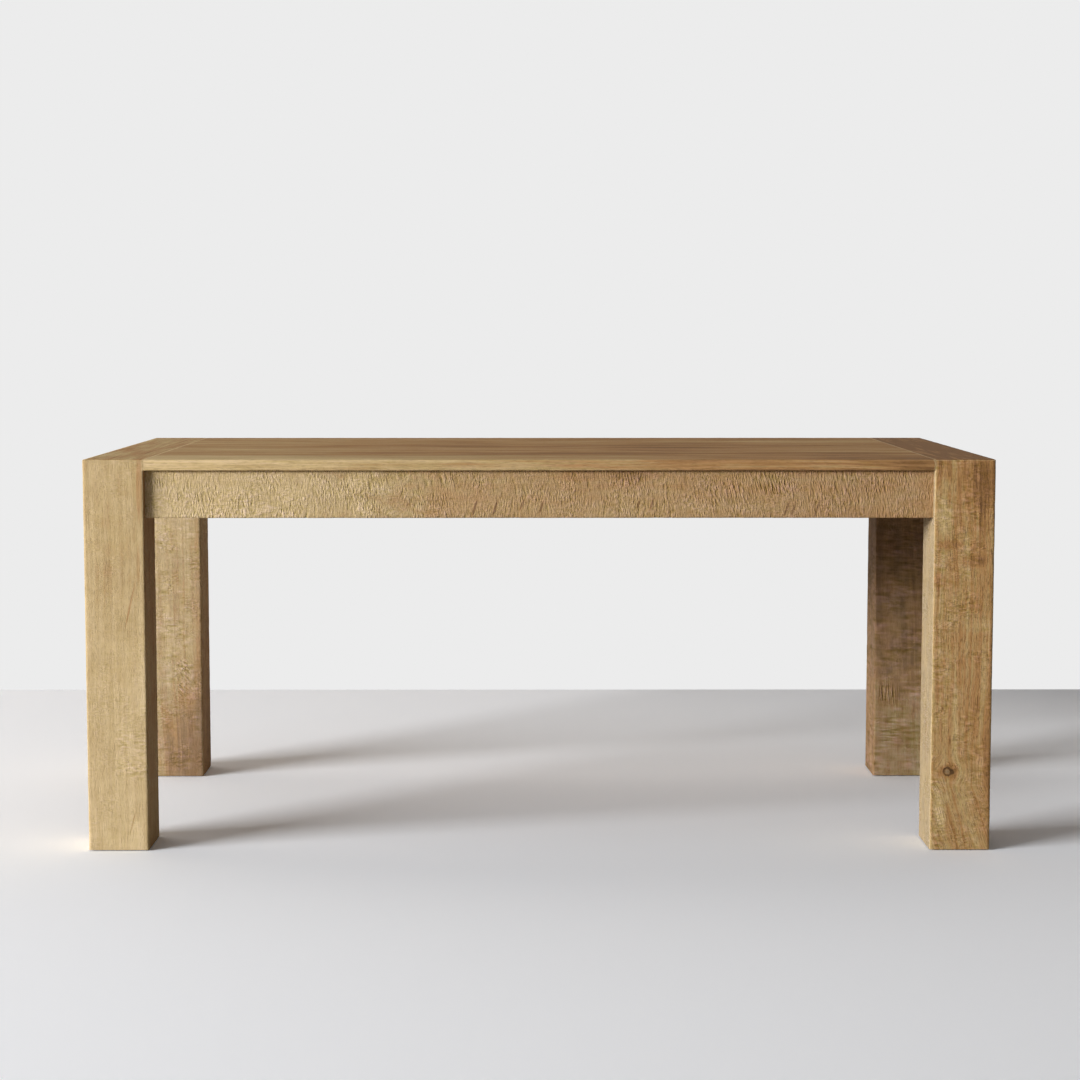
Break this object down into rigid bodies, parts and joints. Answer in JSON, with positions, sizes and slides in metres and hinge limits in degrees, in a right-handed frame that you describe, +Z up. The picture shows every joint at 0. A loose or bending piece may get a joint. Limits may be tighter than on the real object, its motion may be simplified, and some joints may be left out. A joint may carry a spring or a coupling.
{
  "type": "parsons dining table",
  "caption": "Rectangular dining table in solid oak with wide square legs flush with the corners of a plank top, and recessed aprons between them.",
  "frame": {"origin": "on the floor under the middle of the table", "axes": "+X along the table's length to the right as seen from the front, -Y towards the front, +Z up"},
  "size_m": [1.8, 0.9, 0.783],
  "materials": {
    "oak_legs": "reclaimed oak, planed and waxed, saw marks left in places",
    "oak_aprons": "reclaimed oak, sawn face left showing under wax",
    "oak_top": "reclaimed oak planks, sanded and waxed",
    "oak_underframe": "planed oak, bare",
    "birch_ply_splines": "birch plywood strips, glued in",
    "zinc_steel": "zinc-plated steel",
    "nylon_glides": "dark nylon, smooth underside"
  },
  "bodies": {
    "root": {"bearer_screws": "zinc_steel", "cleat_screws": "zinc_steel", "fifth_plank": "oak_top", "fourth_plank": "oak_top", "front_apron": "oak_aprons", "front_cleats": "oak_underframe", "front_left_back_stave": "oak_legs", "front_left_face_stave": "oak_legs", "front_left_foot_block": "oak_underframe", "front_left_glide": "nylon_glides", "front_left_head_block": "oak_underframe", "front_left_inner_stave": "oak_legs", "front_left_mitre_keys": "birch_ply_splines", "front_left_outer_stave": "oak_legs", "front_plank": "oak_top", "front_right_back_stave": "oak_legs", "front_right_face_stave": "oak_legs", "front_right_foot_block": "oak_underframe", "front_right_glide": "nylon_glides", "front_right_head_block": "oak_underframe", "front_right_inner_stave": "oak_legs", "front_right_mitre_keys": "birch_ply_splines", "front_right_outer_stave": "oak_legs", "glide_nails": "zinc_steel", "left_apron": "oak_aprons", "left_bearer": "oak_underframe", "left_cleat": "oak_underframe", "left_end_board": "oak_top", "left_end_spline": "birch_ply_splines", "middle_bearer": "oak_underframe", "plank_splines": "birch_ply_splines", "rear_apron": "oak_aprons", "rear_cleats": "oak_underframe", "rear_left_back_stave": "oak_legs", "rear_left_face_stave": "oak_legs", "rear_left_foot_block": "oak_underframe", "rear_left_glide": "nylon_glides", "rear_left_head_block": "oak_underframe", "rear_left_inner_stave": "oak_legs", "rear_left_mitre_keys": "birch_ply_splines", "rear_left_outer_stave": "oak_legs", "rear_plank": "oak_top", "rear_right_back_stave": "oak_legs", "rear_right_face_stave": "oak_legs", "rear_right_foot_block": "oak_underframe", "rear_right_glide": "nylon_glides", "rear_right_head_block": "oak_underframe", "rear_right_inner_stave": "oak_legs", "rear_right_mitre_keys": "birch_ply_splines", "rear_right_outer_stave": "oak_legs", "right_apron": "oak_aprons", "right_bearer": "oak_underframe", "right_cleat": "oak_underframe", "right_end_board": "oak_top", "right_end_spline": "birch_ply_splines", "second_plank": "oak_top", "third_plank": "oak_top"}
  },
  "joints": []
}
